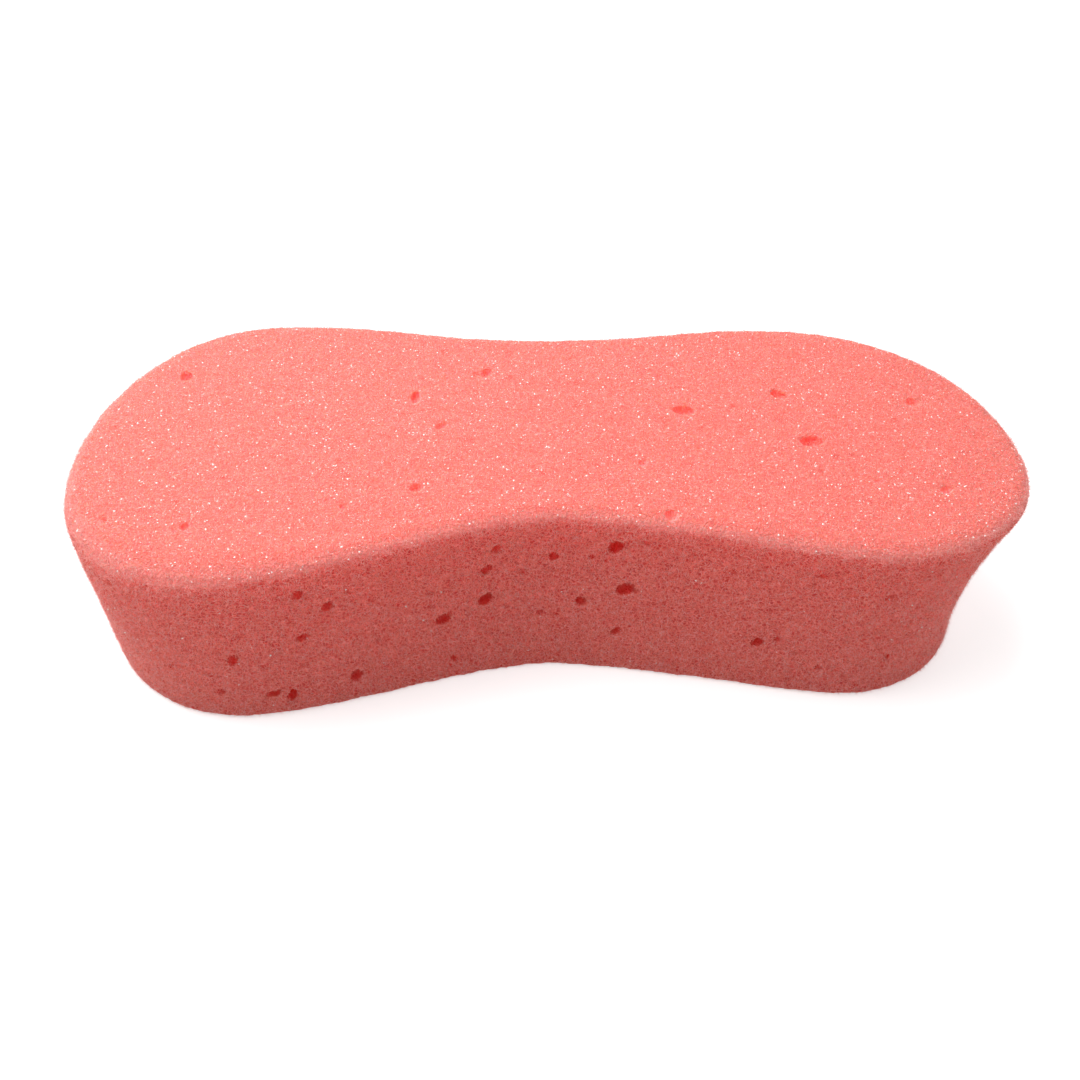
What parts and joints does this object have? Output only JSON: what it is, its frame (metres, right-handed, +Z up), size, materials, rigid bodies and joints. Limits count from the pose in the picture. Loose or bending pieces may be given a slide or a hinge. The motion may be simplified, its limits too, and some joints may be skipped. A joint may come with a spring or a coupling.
{
  "type": "expanding sponge",
  "caption": "peanut-shaped block of soft open-cell foam, with a waist to grip and rounded top edges, for washing and wiping",
  "frame": {"origin": "middle of the flat base that the sponge rests on", "axes": "+X runs along the length to the smaller lobe, -Y is the front with the deeper waist, +Z is up through the thickness"},
  "size_m": [0.22, 0.0944, 0.05],
  "materials": {
    "foam": "dull open-cell polyurethane foam, dyed salmon pink, with small glints from its cell walls"
  },
  "bodies": {
    "root": {"sponge_block": "foam"}
  },
  "joints": []
}
